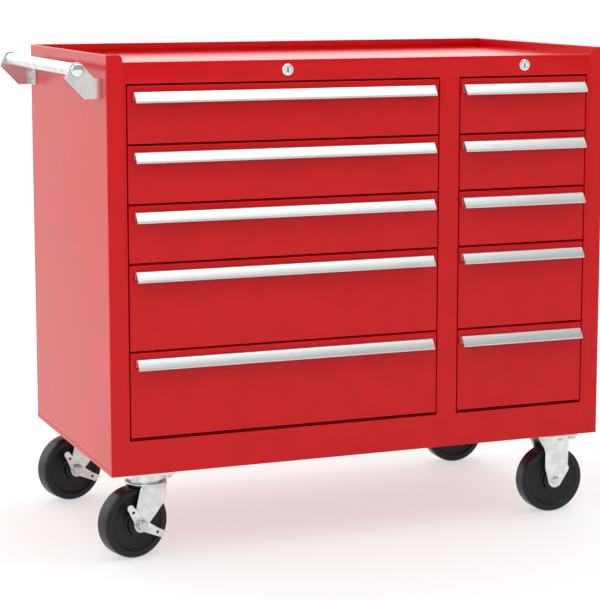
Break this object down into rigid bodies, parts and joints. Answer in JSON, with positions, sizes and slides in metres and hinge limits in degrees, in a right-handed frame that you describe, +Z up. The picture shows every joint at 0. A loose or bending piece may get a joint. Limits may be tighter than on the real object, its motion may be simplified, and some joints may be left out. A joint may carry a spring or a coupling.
{
  "type": "rolling tool chest",
  "caption": "Rolling steel tool chest with two banks of drawers, full-width pulls, keyed locks, a tray top, a side push handle, and swivel and rigid casters.",
  "frame": {"origin": "on the floor, under the centre of the object's bounding box, handle and pulls included", "axes": "+Z up, the drawers open towards -Y, the push handle is on the -X side"},
  "size_m": [1.024, 0.538, 0.888],
  "materials": {
    "red_paint": "smooth gloss powder coat on folded steel sheet",
    "pull_aluminium": "bright satin anodised extrusion",
    "handle_plating": "bright zinc plating, satin",
    "chrome_trim": "polished chrome",
    "caster_zinc": "bright zinc plating on stamped steel",
    "slide_zinc": "zinc plating on rolled steel",
    "fastener_steel": "zinc plated screws, bolts and nuts",
    "wheel_rubber": "moulded hard rubber, satin"
  },
  "bodies": {
    "cabinet": {"left_side_panel": "red_paint", "right_side_panel": "red_paint", "back_panel": "red_paint", "top_tray": "red_paint", "base_pan": "red_paint", "front_frame": "red_paint", "center_partition": "red_paint", "side_uprights": "red_paint", "cabinet_rails": "slide_zinc", "handle_tube": "handle_plating", "handle_brackets": "handle_plating", "handle_end_plugs": "chrome_trim", "lock_housings": "chrome_trim", "swivel_plates": "caster_zinc", "rigid_caster_frames": "caster_zinc", "fasteners": "fastener_steel"},
    "lock_plug_left": {"lock_plug_left": "chrome_trim"},
    "lock_bar_left": {"lock_bar_left": "slide_zinc"},
    "drawer_left_1": {"drawer_left_1": "red_paint", "pull_left_1": "pull_aluminium"},
    "middle_slides_left_1": {"middle_slides_left_1": "slide_zinc"},
    "drawer_left_2": {"drawer_left_2": "red_paint", "pull_left_2": "pull_aluminium"},
    "middle_slides_left_2": {"middle_slides_left_2": "slide_zinc"},
    "drawer_left_3": {"drawer_left_3": "red_paint", "pull_left_3": "pull_aluminium"},
    "middle_slides_left_3": {"middle_slides_left_3": "slide_zinc"},
    "drawer_left_4": {"drawer_left_4": "red_paint", "pull_left_4": "pull_aluminium"},
    "middle_slides_left_4": {"middle_slides_left_4": "slide_zinc"},
    "drawer_left_5": {"drawer_left_5": "red_paint", "pull_left_5": "pull_aluminium"},
    "middle_slides_left_5": {"middle_slides_left_5": "slide_zinc"},
    "lock_plug_right": {"lock_plug_right": "chrome_trim"},
    "lock_bar_right": {"lock_bar_right": "slide_zinc"},
    "drawer_right_1": {"drawer_right_1": "red_paint", "pull_right_1": "pull_aluminium"},
    "middle_slides_right_1": {"middle_slides_right_1": "slide_zinc"},
    "drawer_right_2": {"drawer_right_2": "red_paint", "pull_right_2": "pull_aluminium"},
    "middle_slides_right_2": {"middle_slides_right_2": "slide_zinc"},
    "drawer_right_3": {"drawer_right_3": "red_paint", "pull_right_3": "pull_aluminium"},
    "middle_slides_right_3": {"middle_slides_right_3": "slide_zinc"},
    "drawer_right_4": {"drawer_right_4": "red_paint", "pull_right_4": "pull_aluminium"},
    "middle_slides_right_4": {"middle_slides_right_4": "slide_zinc"},
    "drawer_right_5": {"drawer_right_5": "red_paint", "pull_right_5": "pull_aluminium"},
    "middle_slides_right_5": {"middle_slides_right_5": "slide_zinc"},
    "fork_front_left": {"fork_front_left": "caster_zinc", "axle_front_left": "fastener_steel"},
    "brake_front_left": {"brake_front_left": "caster_zinc"},
    "wheel_front_left": {"wheel_front_left": "wheel_rubber"},
    "wheel_front_right": {"wheel_front_right": "wheel_rubber"},
    "fork_rear_left": {"fork_rear_left": "caster_zinc", "axle_rear_left": "fastener_steel"},
    "brake_rear_left": {"brake_rear_left": "caster_zinc"},
    "wheel_rear_left": {"wheel_rear_left": "wheel_rubber"},
    "wheel_rear_right": {"wheel_rear_right": "wheel_rubber"}
  },
  "joints": [
    {"name": "lock_left_turn", "type": "hinge", "parent": "cabinet", "child": "lock_plug_left", "pos_m": [-0.1195, -0.251, 0.8578], "axis": [0, 1, 0], "range_deg": [0, 90]},
    {"name": "lock_bar_left_drop", "type": "slide", "parent": "cabinet", "child": "lock_bar_left", "axis": [0, 0, -1], "range_m": [0, 0.008]},
    {"name": "drawer_left_1_slide", "type": "slide", "parent": "cabinet", "child": "drawer_left_1", "axis": [0, -1, 0], "range_m": [0, 0.42]},
    {"name": "middle_left_1_slide", "type": "slide", "parent": "cabinet", "child": "middle_slides_left_1", "axis": [0, -1, 0], "range_m": [0, 0.21]},
    {"name": "drawer_left_2_slide", "type": "slide", "parent": "cabinet", "child": "drawer_left_2", "axis": [0, -1, 0], "range_m": [0, 0.42]},
    {"name": "middle_left_2_slide", "type": "slide", "parent": "cabinet", "child": "middle_slides_left_2", "axis": [0, -1, 0], "range_m": [0, 0.21]},
    {"name": "drawer_left_3_slide", "type": "slide", "parent": "cabinet", "child": "drawer_left_3", "axis": [0, -1, 0], "range_m": [0, 0.42]},
    {"name": "middle_left_3_slide", "type": "slide", "parent": "cabinet", "child": "middle_slides_left_3", "axis": [0, -1, 0], "range_m": [0, 0.21]},
    {"name": "drawer_left_4_slide", "type": "slide", "parent": "cabinet", "child": "drawer_left_4", "axis": [0, -1, 0], "range_m": [0, 0.42]},
    {"name": "middle_left_4_slide", "type": "slide", "parent": "cabinet", "child": "middle_slides_left_4", "axis": [0, -1, 0], "range_m": [0, 0.21]},
    {"name": "drawer_left_5_slide", "type": "slide", "parent": "cabinet", "child": "drawer_left_5", "axis": [0, -1, 0], "range_m": [0, 0.42]},
    {"name": "middle_left_5_slide", "type": "slide", "parent": "cabinet", "child": "middle_slides_left_5", "axis": [0, -1, 0], "range_m": [0, 0.21]},
    {"name": "lock_right_turn", "type": "hinge", "parent": "cabinet", "child": "lock_plug_right", "pos_m": [0.345, -0.251, 0.8578], "axis": [0, 1, 0], "range_deg": [0, 90]},
    {"name": "lock_bar_right_drop", "type": "slide", "parent": "cabinet", "child": "lock_bar_right", "axis": [0, 0, -1], "range_m": [0, 0.008]},
    {"name": "drawer_right_1_slide", "type": "slide", "parent": "cabinet", "child": "drawer_right_1", "axis": [0, -1, 0], "range_m": [0, 0.42]},
    {"name": "middle_right_1_slide", "type": "slide", "parent": "cabinet", "child": "middle_slides_right_1", "axis": [0, -1, 0], "range_m": [0, 0.21]},
    {"name": "drawer_right_2_slide", "type": "slide", "parent": "cabinet", "child": "drawer_right_2", "axis": [0, -1, 0], "range_m": [0, 0.42]},
    {"name": "middle_right_2_slide", "type": "slide", "parent": "cabinet", "child": "middle_slides_right_2", "axis": [0, -1, 0], "range_m": [0, 0.21]},
    {"name": "drawer_right_3_slide", "type": "slide", "parent": "cabinet", "child": "drawer_right_3", "axis": [0, -1, 0], "range_m": [0, 0.42]},
    {"name": "middle_right_3_slide", "type": "slide", "parent": "cabinet", "child": "middle_slides_right_3", "axis": [0, -1, 0], "range_m": [0, 0.21]},
    {"name": "drawer_right_4_slide", "type": "slide", "parent": "cabinet", "child": "drawer_right_4", "axis": [0, -1, 0], "range_m": [0, 0.42]},
    {"name": "middle_right_4_slide", "type": "slide", "parent": "cabinet", "child": "middle_slides_right_4", "axis": [0, -1, 0], "range_m": [0, 0.21]},
    {"name": "drawer_right_5_slide", "type": "slide", "parent": "cabinet", "child": "drawer_right_5", "axis": [0, -1, 0], "range_m": [0, 0.42]},
    {"name": "middle_right_5_slide", "type": "slide", "parent": "cabinet", "child": "middle_slides_right_5", "axis": [0, -1, 0], "range_m": [0, 0.21]},
    {"name": "swivel_front_left", "type": "hinge", "parent": "cabinet", "child": "fork_front_left", "pos_m": [-0.372, -0.204, 0.131], "axis": [0, 0, 1], "continuous": true},
    {"name": "roll_front_left", "type": "hinge", "parent": "fork_front_left", "child": "wheel_front_left", "pos_m": [-0.40001, -0.21151, 0.0635], "axis": [0.2588, -0.9659, 0], "continuous": true},
    {"name": "brake_front_left_press", "type": "hinge", "parent": "fork_front_left", "child": "brake_front_left", "pos_m": [-0.40001, -0.21151, 0.0635], "axis": [-0.2588, 0.9659, 0], "range_deg": [0, 25]},
    {"name": "roll_front_right", "type": "hinge", "parent": "cabinet", "child": "wheel_front_right", "pos_m": [0.436, -0.204, 0.0635], "axis": [0, 1, 0], "continuous": true},
    {"name": "swivel_rear_left", "type": "hinge", "parent": "cabinet", "child": "fork_rear_left", "pos_m": [-0.372, 0.222, 0.131], "axis": [0, 0, 1], "continuous": true},
    {"name": "roll_rear_left", "type": "hinge", "parent": "fork_rear_left", "child": "wheel_rear_left", "pos_m": [-0.40001, 0.21449, 0.0635], "axis": [0.2588, -0.9659, 0], "continuous": true},
    {"name": "brake_rear_left_press", "type": "hinge", "parent": "fork_rear_left", "child": "brake_rear_left", "pos_m": [-0.40001, 0.21449, 0.0635], "axis": [-0.2588, 0.9659, 0], "range_deg": [0, 25]},
    {"name": "roll_rear_right", "type": "hinge", "parent": "cabinet", "child": "wheel_rear_right", "pos_m": [0.436, 0.222, 0.0635], "axis": [0, 1, 0], "continuous": true}
  ],
  "couplings": [
    {"joint": "lock_left_turn", "follows": "lock_bar_left_drop", "rad_per_m": 196.35},
    {"joint": "middle_left_1_slide", "follows": "drawer_left_1_slide", "ratio": 0.5},
    {"joint": "middle_left_2_slide", "follows": "drawer_left_2_slide", "ratio": 0.5},
    {"joint": "middle_left_3_slide", "follows": "drawer_left_3_slide", "ratio": 0.5},
    {"joint": "middle_left_4_slide", "follows": "drawer_left_4_slide", "ratio": 0.5},
    {"joint": "middle_left_5_slide", "follows": "drawer_left_5_slide", "ratio": 0.5},
    {"joint": "lock_right_turn", "follows": "lock_bar_right_drop", "rad_per_m": 196.35},
    {"joint": "middle_right_1_slide", "follows": "drawer_right_1_slide", "ratio": 0.5},
    {"joint": "middle_right_2_slide", "follows": "drawer_right_2_slide", "ratio": 0.5},
    {"joint": "middle_right_3_slide", "follows": "drawer_right_3_slide", "ratio": 0.5},
    {"joint": "middle_right_4_slide", "follows": "drawer_right_4_slide", "ratio": 0.5},
    {"joint": "middle_right_5_slide", "follows": "drawer_right_5_slide", "ratio": 0.5}
  ]
}
